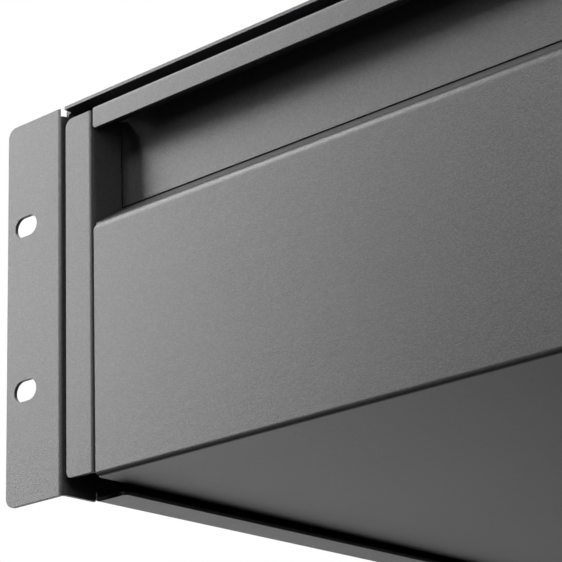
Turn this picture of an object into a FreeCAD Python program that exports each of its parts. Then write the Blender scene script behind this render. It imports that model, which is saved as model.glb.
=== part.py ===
"""Sliding drawer for a 19-inch rack, three units high, folded from sheet steel.

The case is one folded sheet: top, side walls, rack ears and bottom flanges. The drawer
is a folded pan between two side walls, with a finger pocket in its front. It runs out on
two ball-bearing slides of three members each.

Millimetres, +Z up, +X to the right as seen from the front, +Y towards the rear. While
the pieces are drawn, Y = 0 is the front face and Z = 0 is the underside. They are saved
about the middle of the four ear slots, on the face that lies against the rack rails.
"""
import FreeCAD, Part
import math
import os

from FreeCAD import Vector

# ---------------------------------------------------------------- rack and case
RACK_UNIT = 44.45
UNITS = 3
UNIT_GAP = 0.8            # what a panel stays under its whole units
PAIR_PITCH = 12.7         # from the top hole of one unit to the bottom hole of the next
EAR_SPAN = 482.6
EAR_WIDTH = 25.0
EAR_CORNER = 3.5
SLOT_INSET = 8.75         # from the ear's outer edge to the middle of a slot
SLOT_LENGTH = 10.3
SLOT_WIDTH = 7.1
CASE_DEPTH = 380.0
CASE_SHEET = 1.2
CASE_BEND = 1.0           # inside radius of every fold in the case
FLANGE_WIDTH = 13.9
FLANGE_START = 14.9       # the bottom flange begins this far behind the front
FLANGE_CORNER = 1.6
RELIEF_SLIT = 0.6
RELIEF_HEIGHT = 3.2
NOTCH_START = 0.3         # corner relief where the ear fold meets the top fold
NOTCH_END = 3.1
NOTCH_HEIGHT = 2.8
REAR_LIP = 16.0           # folded edges of the rear panel
REAR_FIT = 0.2

# ---------------------------------------------------------------- drawer
REAR_SPACE = 20.0         # from the drawer's back to the rear of the case
DRAWER_SHEET = 1.2
DRAWER_BEND = 0.4         # inside radius of the drawer's folds
DRAWER_LIFT = 3.0         # from the case's underside to the drawer's
TOP_GAP = 2.85            # from the case's top to the drawer's lip
SHEET_FIT = 0.1           # between drawer sheets that are welded together
PAN_FIT = 0.4             # from the pan's and the pull channel's ends to the side walls
STRIP_GAP = 1.5           # from the drawer's side strip to the case wall
STRIP_RISE = 1.7          # from the drawer's underside to the strip's lower end
STRIP_TOP_CORNER = 3.0
STRIP_FOOT_CORNER = 2.0
SIDE_FOOT = 15.0          # bottom flange of a side wall, welded to the pan
FOOT_START = 18.0
SILL_HEIGHT = 86.4        # where the planes of the front and of the pocket's floor meet
SILL_BEND = 3.0
POCKET_SLOPE = 34.6       # degrees that the pocket's floor rises towards the rear
POCKET_DEPTH = 13.5
POCKET_SEAM = 0.5         # between the pocket's floor and its back plate
FLOOR_OVERRUN = 0.5       # how far the floor passes under the back plate
LIP_HEIGHT = 8.2
LIP_CORNER = 1.3
PANEL_CORNER = 1.4
SILL_CORNER = 2.2
BACK_WING = 16.0          # end flanges of the back
PAN_UPTURN = 14.0
BACK_DROP = 6.0           # the back stays this far below the side walls
BACK_HEM = 14.0

# ---------------------------------------------------------------- slides
SLIDE_SPACE = 12.7        # between the case wall and the drawer's side wall
SLIDE_HEIGHT = 45.5
SLIDE_SETBACK = 4.0       # from the front face to the slides
SLIDE_REAR = 6.0          # from the slides to the drawer's rear face
SLIDE_SHEET = 1.2
SLIDE_BEND = 0.8
BALL = 3.2
RACE_GAP = 0.25           # between a ball and its race
BALL_FLATTEN = 0.93       # across a drawn ball's flats, so that its corners clear the race
OUTER_ROW = 6.0           # from the case wall to the outer row of balls
ROW_STEP = 3.0            # and on to the inner row
OUTER_LIP = 20.0          # degrees above the ball's middle where a race ends
MIDDLE_LIP = 40.0
INNER_CURL = 60.0
MIDDLE_WEB = 2.7          # from the case wall to the middle member's web
CAGE_SHEET = 0.6
OUTER_CAGE_WEB = 1.6
INNER_CAGE_WEB = 4.4
CAGE_END = 6.0            # what a cage stays inside both members with the slide fully out
CAGE_HOLD = 1.2           # how far a pocket reaches past the ball's middle
POCKET_FIT = 0.1
BALLS_PER_GROUP = 3
BALL_PITCH = 9.0
BUMPER_LENGTH = 6.0
BUMPER_GAP = 0.4
SCREW_FIRST = 37.0        # from the slide's front end to its first screw
SCREW_LAST = 57.0         # and from its last screw to its rear end
SCREWS_PER_MEMBER = 2
ACCESS_HOLE = 9.0

# ---------------------------------------------------------------- screws and lever
SCREW_SHANK = 4.0
SCREW_HEAD = 8.0
SCREW_HEAD_HEIGHT = 2.4
SCREW_DOME = 1.2          # the part of the head's height that slopes in
SCREW_CROWN = 4.6
HOLE_FIT = 0.1
FLATS = 10                # small round pieces and their holes are drawn with this many sides
POCKET_FLATS = 8          # and the ball pockets with these
REAR_SCREWS_PER_SIDE = 2
REAR_SCREW_SIZE = 0.75    # the rear panel's screws against the others
LEVER_LENGTH = 50.0
LEVER_THICKNESS = 2.4
LEVER_BOSS = 5.5
LEVER_TIP = 3.2
LEVER_PAD = 9.0
LEVER_GAP = 0.3
LEVER_LEAD = 2.5          # how far the lever's root comes ahead of the middle member, drawer out
RIVET_SHANK = 4.0
RIVET_HEAD = 7.4
RIVET_HEAD_HEIGHT = 1.2
RIVET_FIT = 0.15
PAST = 1.0                # how far a cutter runs past the sheet on each side
SAME_PLACE = 0.05         # how near an edge lies to the corner that it is picked by

# ---------------------------------------------------------------- worked out
HEIGHT = UNITS * RACK_UNIT - UNIT_GAP
SLOT_PITCH = (UNITS - 2) * RACK_UNIT + PAIR_PITCH
EAR_EDGE = EAR_SPAN / 2
SLOT_X = EAR_EDGE - SLOT_INSET
CASE_SIDE = EAR_EDGE - EAR_WIDTH
CASE_INNER = CASE_SIDE - CASE_SHEET
CASE_FOLD = CASE_BEND + CASE_SHEET
FLANGE_EDGE = CASE_SIDE - FLANGE_WIDTH
CASE_TOP = HEIGHT - CASE_SHEET
REAR_SCREW_Y = CASE_DEPTH - REAR_LIP / 2
SHANK_HOLE = SCREW_SHANK + 2 * HOLE_FIT
REAR_HOLE = SCREW_SHANK * REAR_SCREW_SIZE + 2 * HOLE_FIT

DRAWER_LENGTH = CASE_DEPTH - REAR_SPACE
SIDE_OUTER = CASE_INNER - SLIDE_SPACE
SIDE_INNER = SIDE_OUTER - DRAWER_SHEET
PAN_EDGE = SIDE_INNER - PAN_FIT
BACK_EDGE = SIDE_INNER - SHEET_FIT
DRAWER_FOLD = DRAWER_BEND + DRAWER_SHEET
LIP_TOP = CASE_TOP - TOP_GAP
SIDE_TOP = LIP_TOP - DRAWER_SHEET - SHEET_FIT
SIDE_BOTTOM = DRAWER_LIFT + DRAWER_SHEET
STRIP_EDGE = CASE_INNER - STRIP_GAP
STRIP_BOTTOM = DRAWER_LIFT + STRIP_RISE
SLOPE = math.radians(POCKET_SLOPE)
FLOOR_AT_PLATE = SILL_HEIGHT + POCKET_DEPTH * math.tan(SLOPE)
PLATE_BACK = POCKET_DEPTH + DRAWER_SHEET

SLIDE_FRONT = SLIDE_SETBACK
SLIDE_LENGTH = DRAWER_LENGTH - SLIDE_REAR - SLIDE_FRONT
TRAVEL = SLIDE_LENGTH
SLIDE_Z = HEIGHT / 2
RACE = BALL / 2 + RACE_GAP
RACE_MID = RACE + SLIDE_SHEET / 2
OUTER_ROW_Z = SLIDE_HEIGHT / 2 - RACE - SLIDE_SHEET
ROW_DROP = math.sqrt((2 * RACE_MID) ** 2 - ROW_STEP ** 2)
INNER_ROW = OUTER_ROW + ROW_STEP
INNER_ROW_Z = OUTER_ROW_Z - ROW_DROP
ROW_ANGLE = math.degrees(math.atan2(ROW_DROP, ROW_STEP))
SLIDE_FOLD_MID = SLIDE_BEND + SLIDE_SHEET / 2
MIDDLE_LENGTH = SLIDE_LENGTH - BUMPER_LENGTH - BUMPER_GAP
INNER_LENGTH = MIDDLE_LENGTH - BUMPER_LENGTH - BUMPER_GAP
CAGE_START = SLIDE_FRONT + CAGE_END + TRAVEL / 4
CAGE_LENGTH = INNER_LENGTH - TRAVEL / 2 - 2 * CAGE_END
OUTER_BALL_ROW = (OUTER_ROW - CASE_INNER, OUTER_ROW_Z)
INNER_BALL_ROW = (INNER_ROW - CASE_INNER, INNER_ROW_Z)
LEVER_Y = SLIDE_FRONT + TRAVEL / 2 - LEVER_BOSS - LEVER_LEAD

DATUM = Vector(0, CASE_SHEET, HEIGHT / 2)


# ---------------------------------------------------------------- drawing helpers
def in_xz(u, v):
    """Section seen from the front."""
    return Vector(u, 0, v)


def in_yz(u, v):
    """Section seen from the side."""
    return Vector(0, u, v)


def in_xy(u, v):
    """Section seen from above."""
    return Vector(u, v, 0)


class Strip:
    """A strip of sheet in section: straight runs and bends of one thickness.

    It starts at a point of the sheet's mid-plane with a heading in degrees, counted
    anticlockwise from the first axis of its plane.
    """

    def __init__(self, plane, start, heading, thickness):
        """Set out from start; the sheet's two faces are kept as chains of edges."""
        self.plane = plane
        self.u, self.v = start
        self.heading = math.radians(heading)
        self.half = thickness / 2
        self.left = []
        self.right = []
        self.first = (self.point(1), self.point(-1))

    def point(self, side):
        """The point on the left (1) or right (-1) face at the present place."""
        u = self.u - side * self.half * math.sin(self.heading)
        v = self.v + side * self.half * math.cos(self.heading)
        return self.plane(u, v)

    def run(self, length):
        """Go straight on."""
        before = (self.point(1), self.point(-1))
        self.u += length * math.cos(self.heading)
        self.v += length * math.sin(self.heading)
        self.left.append(Part.LineSegment(before[0], self.point(1)).toShape())
        self.right.append(Part.LineSegment(before[1], self.point(-1)).toShape())
        return self

    def turn(self, degrees, inside):
        """Bend about a centre on the left (positive) or right, with this inside radius."""
        side = math.copysign(1, degrees)
        radius = inside + self.half
        centre_u = self.u - side * radius * math.sin(self.heading)
        centre_v = self.v + side * radius * math.cos(self.heading)
        faces = [[self.point(1)], [self.point(-1)]]
        for _ in range(2):
            self.heading += math.radians(degrees) / 2
            self.u = centre_u + side * radius * math.sin(self.heading)
            self.v = centre_v - side * radius * math.cos(self.heading)
            faces[0].append(self.point(1))
            faces[1].append(self.point(-1))
        self.left.append(Part.Arc(*faces[0]).toShape())
        self.right.append(Part.Arc(*faces[1]).toShape())
        return self

    def turn_left(self, degrees, inside):
        """Bend anticlockwise."""
        return self.turn(degrees, inside)

    def turn_right(self, degrees, inside):
        """Bend clockwise."""
        return self.turn(-degrees, inside)

    def extrude(self, along, start=0.0):
        """The solid of this section, from start over the vector along."""
        end_cap = Part.LineSegment(self.point(1), self.point(-1)).toShape()
        start_cap = Part.LineSegment(self.first[1], self.first[0]).toShape()
        loop = self.left + [end_cap] + self.right[::-1] + [start_cap]
        solid = Part.Face(Part.Wire(loop)).extrude(along)
        offset = Vector(along)
        offset.normalize()
        solid.translate(offset * start)
        return solid


def box(low, high):
    """A box between two corners."""
    size = [b - a for a, b in zip(low, high)]
    return Part.makeBox(*size, Vector(*low))


def rod(centre, along, radius):
    """A round bar from a point over a vector."""
    return Part.makeCylinder(radius, along.Length, centre, along)


def polygon(centre, direction, across, flats=FLATS):
    """The outline of a small round section, measured across its flats."""
    corner = across / 2 / math.cos(math.pi / flats)
    spin = FreeCAD.Rotation(Vector(0, 0, 1), direction)
    ring = []
    for k in range(flats):
        angle = 2 * math.pi * (k + 0.5) / flats
        offset = Vector(math.cos(angle), math.sin(angle), 0) * corner
        ring.append(centre + spin.multVec(offset))
    return Part.makePolygon(ring + ring[:1])


def prism(centre, along, across, flats=FLATS):
    """A small round bar or hole, from a point over a vector."""
    direction = Vector(along)
    direction.normalize()
    return Part.Face(polygon(centre, direction, across, flats)).extrude(along)


def obround(centre, length, width, along):
    """A bar with straight sides and round ends, its long way along X."""
    half = (length - width) / 2
    ends = [centre - Vector(half, 0, 0), centre + Vector(half, 0, 0)]
    bars = [rod(end, along, width / 2) for end in ends]
    middle = Part.makeBox(2 * half, along.Length, width)
    middle.translate(Vector(centre.x - half, centre.y, centre.z - width / 2))
    return bars[0].fuse([bars[1], middle]).removeSplitter()


def mirrored(shape):
    """The same piece for the other side."""
    return shape.mirror(Vector(0, 0, 0), Vector(1, 0, 0))


def merged(first, *others):
    """One solid without seams where its parts met."""
    return first.fuse(list(others)).removeSplitter()


def rounded(shape, radius, axis, corners):
    """Round the edges that run along an axis through the given corners."""
    chosen = []
    for edge in shape.Edges:
        if not isinstance(edge.Curve, (Part.Line, Part.LineSegment)):
            continue
        direction = edge.tangentAt(edge.FirstParameter)
        if abs(direction.dot(axis)) < 0.999:
            continue
        middle = edge.CenterOfMass
        for corner in corners:
            offset = middle - corner
            across = offset - axis * offset.dot(axis)
            if across.Length < SAME_PLACE:
                chosen.append(edge)
                break
    return shape.makeFillet(radius, chosen)


def front_corner_cut(x, z, radius, depth, down):
    """What a rounded corner takes off the front, at the -X end x of an edge at height z."""
    inward = 1 if down else -1
    levels = sorted((z - inward * PAST, z + inward * radius))
    block = box((x - PAST, -PAST, levels[0]), (x + radius, depth, levels[1]))
    centre = Vector(x + radius, -PAST, z + inward * radius)
    return block.cut(rod(centre, Vector(0, depth + PAST, 0), radius))


def save(name, *solids):
    """Write one node, moved to the part's own origin."""
    shape = solids[0] if len(solids) == 1 else Part.makeCompound(list(solids))
    placed = shape.copy()
    placed.translate(DATUM * -1)
    placed.exportStep("parts/" + name + ".step")


# ---------------------------------------------------------------- fasteners
def pan_screw(seat, direction, grip, size=1.0):
    """A pan-head screw whose head sits on seat and whose shank goes in by its grip."""
    side = direction * -(SCREW_HEAD_HEIGHT - SCREW_DOME) * size
    top = direction * -SCREW_HEAD_HEIGHT * size
    head = prism(seat, side, SCREW_HEAD * size)
    rim = polygon(seat + side, direction, SCREW_HEAD * size)
    crown = polygon(seat + top, direction, SCREW_CROWN * size)
    dome = Part.makeLoft([rim, crown], True, True)
    shank = prism(seat, direction * grip, SCREW_SHANK * size)
    return merged(head, dome, shank)


def slide_screw_ys():
    """Where the screws of a slide member sit, evenly spread from front to rear."""
    pitch = (SLIDE_LENGTH - SCREW_FIRST - SCREW_LAST) / (SCREWS_PER_MEMBER - 1)
    return [SLIDE_FRONT + SCREW_FIRST + k * pitch for k in range(SCREWS_PER_MEMBER)]


def rear_screw_zs():
    """Heights of the screws that hold the rear panel, evenly spread."""
    step = HEIGHT / REAR_SCREWS_PER_SIDE
    return [step * (k + 0.5) for k in range(REAR_SCREWS_PER_SIDE)]


def hole_through(x, y, z, diameter, sheet):
    """A small hole along X through a sheet whose left face is at x."""
    return prism(Vector(x - PAST, y, z), Vector(sheet + 2 * PAST, 0, 0), diameter)


# ---------------------------------------------------------------- case
def case_section():
    """Top, side walls and bottom flanges, seen from the front."""
    mid = CASE_SHEET / 2
    flange_run = FLANGE_WIDTH - CASE_FOLD
    wall_run = HEIGHT - 2 * CASE_FOLD
    top_run = 2 * (CASE_SIDE - CASE_FOLD)
    strip = Strip(in_xz, (-FLANGE_EDGE, mid), 180, CASE_SHEET)
    strip.run(flange_run).turn_right(90, CASE_BEND)
    strip.run(wall_run).turn_right(90, CASE_BEND)
    strip.run(top_run).turn_right(90, CASE_BEND)
    strip.run(wall_run).turn_right(90, CASE_BEND).run(flange_run)
    return strip


def front_section():
    """The same ahead of the bottom flanges: the walls end square at the underside."""
    mid = CASE_SHEET / 2
    wall_run = HEIGHT - CASE_FOLD
    strip = Strip(in_xz, (-CASE_SIDE + mid, 0), 90, CASE_SHEET)
    strip.run(wall_run).turn_right(90, CASE_BEND)
    strip.run(2 * (CASE_SIDE - CASE_FOLD)).turn_right(90, CASE_BEND)
    strip.run(wall_run)
    return strip


def ear():
    """The left ear with its fold into the side wall and its two slots."""
    mid = CASE_SHEET / 2
    strip = Strip(in_xy, (-EAR_EDGE, mid), 0, CASE_SHEET)
    strip.run(EAR_WIDTH + CASE_SHEET - CASE_FOLD).turn_left(90, CASE_BEND).run(CASE_SHEET)
    plate = strip.extrude(Vector(0, 0, HEIGHT))
    outer_corners = [Vector(-EAR_EDGE, 0, z) for z in (0, HEIGHT)]
    plate = rounded(plate, EAR_CORNER, Vector(0, 1, 0), outer_corners)
    for side in (-1, 1):
        centre = Vector(-SLOT_X, -PAST, HEIGHT / 2 + side * SLOT_PITCH / 2)
        through = Vector(0, CASE_SHEET + 2 * PAST, 0)
        plate = plate.cut(obround(centre, SLOT_LENGTH, SLOT_WIDTH, through))
    return plate


def case_shell():
    """The whole case sheet."""
    body = case_section().extrude(Vector(0, CASE_DEPTH - FLANGE_START, 0), FLANGE_START)
    flange_corners = [Vector(x, FLANGE_START, 0) for x in (-FLANGE_EDGE, FLANGE_EDGE)]
    body = rounded(body, FLANGE_CORNER, Vector(0, 0, 1), flange_corners)
    front = front_section().extrude(Vector(0, FLANGE_START - CASE_FOLD, 0), CASE_FOLD)
    cover_edge = CASE_SIDE - CASE_FOLD
    brow = box((-cover_edge, 0, CASE_TOP), (cover_edge, CASE_FOLD, HEIGHT))
    left_ear = ear()
    shell = merged(body, front, brow, left_ear, mirrored(left_ear))
    slit = box(
        (-CASE_SIDE - PAST, FLANGE_START - RELIEF_SLIT, -PAST),
        (-CASE_INNER + PAST, FLANGE_START, RELIEF_HEIGHT),
    )
    notch = box(
        (-CASE_SIDE - CASE_BEND, NOTCH_START, HEIGHT - NOTCH_HEIGHT),
        (-cover_edge, NOTCH_END, HEIGHT + PAST),
    )
    tools = []
    for cutter in (slit, notch):
        tools += [cutter, mirrored(cutter)]
    places = [(y, SLIDE_Z, SHANK_HOLE) for y in slide_screw_ys()]
    places += [(REAR_SCREW_Y, z, REAR_HOLE) for z in rear_screw_zs()]
    for y, z, diameter in places:
        hole = hole_through(-CASE_SIDE, y, z, diameter, CASE_SHEET)
        tools += [hole, mirrored(hole)]
    return shell.cut(tools)


def rear_panel():
    """A shallow tray that closes the rear and keeps the side walls square."""
    mid = CASE_SHEET / 2
    low = CASE_SHEET + REAR_FIT
    high = CASE_TOP - REAR_FIT
    side = CASE_INNER - REAR_FIT
    lip_run = REAR_LIP - CASE_FOLD
    upright = Strip(in_yz, (CASE_DEPTH - REAR_LIP, low + mid), 0, CASE_SHEET)
    upright.run(lip_run).turn_left(90, CASE_BEND).run(high - low - 2 * CASE_FOLD)
    upright.turn_left(90, CASE_BEND).run(lip_run)
    half = side - CASE_FOLD
    middle = upright.extrude(Vector(2 * half, 0, 0), -half)
    level = Strip(in_xy, (-side + mid, CASE_DEPTH - REAR_LIP), 90, CASE_SHEET)
    level.run(lip_run).turn_right(90, CASE_BEND).run(CASE_FOLD)
    wing = level.extrude(Vector(0, 0, high - low - 2 * CASE_FOLD), low + CASE_FOLD)
    for z in rear_screw_zs():
        wing = wing.cut(hole_through(-side, REAR_SCREW_Y, z, REAR_HOLE, CASE_SHEET))
    return merged(middle, wing, mirrored(wing))


# ---------------------------------------------------------------- drawer
def drawer_pan():
    """Bottom, front and the pocket's sloping floor, one folded sheet."""
    mid = DRAWER_SHEET / 2
    sill_fold = SILL_BEND + DRAWER_SHEET
    sill_turn = 90 - POCKET_SLOPE
    sill_set = sill_fold * math.tan(math.radians(sill_turn) / 2)
    front_run = SILL_HEIGHT - sill_set - DRAWER_LIFT - DRAWER_FOLD
    floor_run = (POCKET_DEPTH + FLOOR_OVERRUN) / math.cos(SLOPE) - sill_set
    strip = Strip(in_yz, (DRAWER_LENGTH - mid, DRAWER_LIFT + PAN_UPTURN), -90, DRAWER_SHEET)
    strip.run(PAN_UPTURN - DRAWER_FOLD).turn_right(90, DRAWER_BEND)
    strip.run(DRAWER_LENGTH - 2 * DRAWER_FOLD).turn_right(90, DRAWER_BEND)
    strip.run(front_run).turn_right(sill_turn, SILL_BEND).run(floor_run)
    pan = strip.extrude(Vector(2 * PAN_EDGE, 0, 0), -PAN_EDGE)
    foot = front_corner_cut(-PAN_EDGE, DRAWER_LIFT, PANEL_CORNER, DRAWER_FOLD, True)
    crown = front_corner_cut(-PAN_EDGE, SILL_HEIGHT, SILL_CORNER, DRAWER_SHEET, False)
    return pan.cut([foot, mirrored(foot), crown, mirrored(crown)])


def drawer_side():
    """The left side wall with its outward strip in front and its foot below."""
    mid = DRAWER_SHEET / 2
    wall = Strip(in_xz, (-SIDE_OUTER + mid, SIDE_TOP), -90, DRAWER_SHEET)
    wall.run(SIDE_TOP - SIDE_BOTTOM - DRAWER_FOLD).turn_left(90, DRAWER_BEND)
    wall.run(SIDE_FOOT - DRAWER_FOLD)
    rear = DRAWER_LENGTH - DRAWER_FOLD - SHEET_FIT
    body = wall.extrude(Vector(0, rear - FOOT_START, 0), FOOT_START)
    strip_run = STRIP_EDGE - SIDE_INNER - DRAWER_FOLD
    front = Strip(in_xy, (-STRIP_EDGE, mid), 0, DRAWER_SHEET)
    front.run(strip_run).turn_left(90, DRAWER_BEND).run(FOOT_START - DRAWER_FOLD)
    strip = front.extrude(Vector(0, 0, SIDE_TOP - STRIP_BOTTOM), STRIP_BOTTOM)
    across = Vector(0, 1, 0)
    strip = rounded(strip, STRIP_TOP_CORNER, across, [Vector(-STRIP_EDGE, 0, SIDE_TOP)])
    strip = rounded(strip, STRIP_FOOT_CORNER, across, [Vector(-STRIP_EDGE, 0, STRIP_BOTTOM)])
    side = merged(body, strip)
    for y in slide_screw_ys():
        side = side.cut(hole_through(-SIDE_OUTER, y, SLIDE_Z, SHANK_HOLE, DRAWER_SHEET))
    return side


def pull_channel():
    """Lip, ceiling and back plate of the finger pocket, its ends welded to the side walls."""
    mid = DRAWER_SHEET / 2
    plate_foot = FLOOR_AT_PLATE + POCKET_SEAM
    strip = Strip(in_yz, (mid, LIP_TOP - LIP_HEIGHT), 90, DRAWER_SHEET)
    strip.run(LIP_HEIGHT - DRAWER_FOLD).turn_right(90, DRAWER_BEND)
    strip.run(PLATE_BACK - 2 * DRAWER_FOLD).turn_right(90, DRAWER_BEND)
    strip.run(LIP_TOP - DRAWER_FOLD - plate_foot)
    channel = strip.extrude(Vector(2 * PAN_EDGE, 0, 0), -PAN_EDGE)
    for down in (True, False):
        z = LIP_TOP - LIP_HEIGHT if down else LIP_TOP
        cutter = front_corner_cut(-PAN_EDGE, z, LIP_CORNER, DRAWER_FOLD, down)
        channel = channel.cut([cutter, mirrored(cutter)])
    return channel


def drawer_back():
    """Rear wall, welded to the side walls and to the pan's upturned edge."""
    mid = DRAWER_SHEET / 2
    face = DRAWER_LENGTH - DRAWER_SHEET - SHEET_FIT
    low = SIDE_BOTTOM + DRAWER_FOLD + SHEET_FIT
    high = SIDE_TOP - BACK_DROP
    wall = Strip(in_yz, (face - mid, low), 90, DRAWER_SHEET)
    wall.run(high - low - DRAWER_FOLD).turn_left(90, DRAWER_BEND).run(BACK_HEM - DRAWER_FOLD)
    half = BACK_EDGE - DRAWER_FOLD
    middle = wall.extrude(Vector(2 * half, 0, 0), -half)
    end = Strip(in_xy, (mid - BACK_EDGE, face - BACK_WING), 90, DRAWER_SHEET)
    end.run(BACK_WING - DRAWER_FOLD).turn_right(90, DRAWER_BEND).run(DRAWER_FOLD)
    wing = end.extrude(Vector(0, 0, high - low - DRAWER_FOLD), low)
    return merged(middle, wing, mirrored(wing))


# ---------------------------------------------------------------- slides
def slide_x(offset):
    """X of a point this far from the left case wall."""
    return -CASE_INNER + offset


def outer_member():
    """Channel on the case wall; its lips curl over the outer balls."""
    web = SLIDE_SHEET / 2
    lip = math.radians(OUTER_LIP)
    start = (
        slide_x(OUTER_ROW + RACE_MID * math.cos(lip)),
        SLIDE_Z - OUTER_ROW_Z - RACE_MID * math.sin(lip),
    )
    run = OUTER_ROW - web - SLIDE_FOLD_MID
    rise = 2 * (OUTER_ROW_Z + RACE_MID - SLIDE_FOLD_MID)
    strip = Strip(in_xz, start, -90 - OUTER_LIP, SLIDE_SHEET)
    strip.turn_right(90 - OUTER_LIP, RACE).run(run).turn_right(90, SLIDE_BEND).run(rise)
    strip.turn_right(90, SLIDE_BEND).run(run).turn_right(90 - OUTER_LIP, RACE)
    member = strip.extrude(Vector(0, SLIDE_LENGTH, 0), SLIDE_FRONT)
    for y in slide_screw_ys():
        member = member.cut(hole_through(slide_x(0), y, SLIDE_Z, SHANK_HOLE, SLIDE_SHEET))
    return member


def middle_member():
    """Channel between the two rows of balls, its lips in an S round both."""
    lip = math.radians(MIDDLE_LIP)
    start = (
        slide_x(INNER_ROW + RACE_MID * math.cos(lip)),
        SLIDE_Z - INNER_ROW_Z - RACE_MID * math.sin(lip),
    )
    run = OUTER_ROW - MIDDLE_WEB - SLIDE_SHEET / 2 - SLIDE_FOLD_MID
    rise = 2 * (OUTER_ROW_Z - RACE_MID - SLIDE_FOLD_MID)
    over_inner = 180 - ROW_ANGLE - MIDDLE_LIP
    under_outer = 90 - ROW_ANGLE
    strip = Strip(in_xz, start, -90 - MIDDLE_LIP, SLIDE_SHEET)
    strip.turn_right(over_inner, RACE).turn_left(under_outer, RACE).run(run)
    strip.turn_right(90, SLIDE_BEND).run(rise).turn_right(90, SLIDE_BEND)
    strip.run(run).turn_left(under_outer, RACE).turn_right(over_inner, RACE)
    member = strip.extrude(Vector(0, MIDDLE_LENGTH, 0), SLIDE_FRONT)
    for y in slide_screw_ys():
        hole = hole_through(slide_x(MIDDLE_WEB), y, SLIDE_Z, ACCESS_HOLE, SLIDE_SHEET)
        member = member.cut(hole)
    return member


def inner_member():
    """Channel on the drawer's side wall; its edges curl under the inner balls."""
    curl = math.radians(180 - 90 + INNER_CURL)
    start = (
        slide_x(INNER_ROW + RACE_MID * math.cos(curl)),
        SLIDE_Z - INNER_ROW_Z + RACE_MID * math.sin(curl),
    )
    run = SLIDE_SPACE - SLIDE_SHEET / 2 - SLIDE_FOLD_MID - INNER_ROW
    rise = 2 * (INNER_ROW_Z - RACE_MID - SLIDE_FOLD_MID)
    strip = Strip(in_xz, start, INNER_CURL, SLIDE_SHEET)
    strip.turn_right(INNER_CURL, RACE).run(run).turn_left(90, SLIDE_BEND).run(rise)
    strip.turn_left(90, SLIDE_BEND).run(run).turn_right(INNER_CURL, RACE)
    member = strip.extrude(Vector(0, INNER_LENGTH, 0), SLIDE_FRONT)
    web = slide_x(SLIDE_SPACE - SLIDE_SHEET)
    for y in slide_screw_ys():
        member = member.cut(hole_through(web, y, SLIDE_Z, SHANK_HOLE, SLIDE_SHEET))
    rivet = RIVET_SHANK + 2 * HOLE_FIT
    return member.cut(hole_through(web, LEVER_Y, SLIDE_Z, rivet, SLIDE_SHEET))


def ball_ys():
    """Ball positions along a cage: one group near each end."""
    step = [BALL_PITCH * (k + 1) for k in range(BALLS_PER_GROUP)]
    front = [CAGE_START + offset for offset in step]
    rear = [CAGE_START + CAGE_LENGTH - offset for offset in reversed(step)]
    return front + rear


def ball_rows(row):
    """Centres of the balls above and below, in one row each."""
    x, height = row
    return [Vector(x, y, SLIDE_Z + side * height) for side in (-1, 1) for y in ball_ys()]


def ball_cage(web, row):
    """Thin channel whose snap-in pockets carry two rows of balls."""
    x, height = row
    bend = CAGE_SHEET
    fold = bend + CAGE_SHEET / 2
    mid = slide_x(web + CAGE_SHEET / 2)
    run = x + CAGE_HOLD - mid - fold
    strip = Strip(in_xz, (x + CAGE_HOLD, SLIDE_Z - height), 180, CAGE_SHEET)
    strip.run(run).turn_right(90, bend).run(2 * (height - fold)).turn_right(90, bend).run(run)
    cage = strip.extrude(Vector(0, CAGE_LENGTH, 0), CAGE_START)
    pockets = []
    for centre in ball_rows(row):
        foot = centre - Vector(0, 0, CAGE_SHEET)
        through = Vector(0, 0, 2 * CAGE_SHEET)
        pockets.append(prism(foot, through, BALL + 2 * POCKET_FIT, POCKET_FLATS))
    return cage.cut(pockets)


def ball():
    """A ball about the origin, drawn with eighteen flats: three crossed octagon bars."""
    across = BALL * BALL_FLATTEN
    block = Part.makeBox(across, across, across, Vector(1, 1, 1) * (-across / 2))
    for axis in (Vector(1, 0, 0), Vector(0, 1, 0), Vector(0, 0, 1)):
        turned = Part.makeBox(across, across, 2 * across, Vector(-across / 2, -across / 2, -across))
        turned.rotate(Vector(0, 0, 0), Vector(0, 0, 1), 45)
        turned.Placement = FreeCAD.Placement(
            Vector(0, 0, 0), FreeCAD.Rotation(Vector(0, 0, 1), axis)
        ).multiply(turned.Placement)
        block = block.common(turned)
    return block


def balls(row):
    """The balls of one cage."""
    one = ball()
    return [one.translated(centre) for centre in ball_rows(row)]


def bumper(web, height, rear):
    """A moulded stop that plugs the rear end of a channel, up to its edge at height."""
    depth = OUTER_ROW - BALL / 2
    low = slide_x(web)
    return box(
        (low, rear - BUMPER_LENGTH, SLIDE_Z - height),
        (low + depth, rear, SLIDE_Z + height),
    )


def tapered_outline(x, first, first_radius, second, second_radius):
    """Two circles in the YZ plane joined by their outer tangents."""
    span = (second - first).Length
    lean = math.acos((first_radius - second_radius) / span)
    heading = math.atan2(second.z - first.z, second.y - first.y)

    def rim(centre, radius, angle):
        """A point of a circle."""
        return Vector(x, centre.y + radius * math.cos(angle), centre.z + radius * math.sin(angle))

    upper = heading + lean
    lower = heading - lean
    edges = [
        Part.LineSegment(rim(first, first_radius, lower), rim(second, second_radius, lower)),
        Part.Arc(
            rim(second, second_radius, lower),
            rim(second, second_radius, heading),
            rim(second, second_radius, upper),
        ),
        Part.LineSegment(rim(second, second_radius, upper), rim(first, first_radius, upper)),
        Part.Arc(
            rim(first, first_radius, upper),
            rim(first, first_radius, heading + math.pi),
            rim(first, first_radius, lower),
        ),
    ]
    return Part.Face(Part.Wire([edge.toShape() for edge in edges]))


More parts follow.
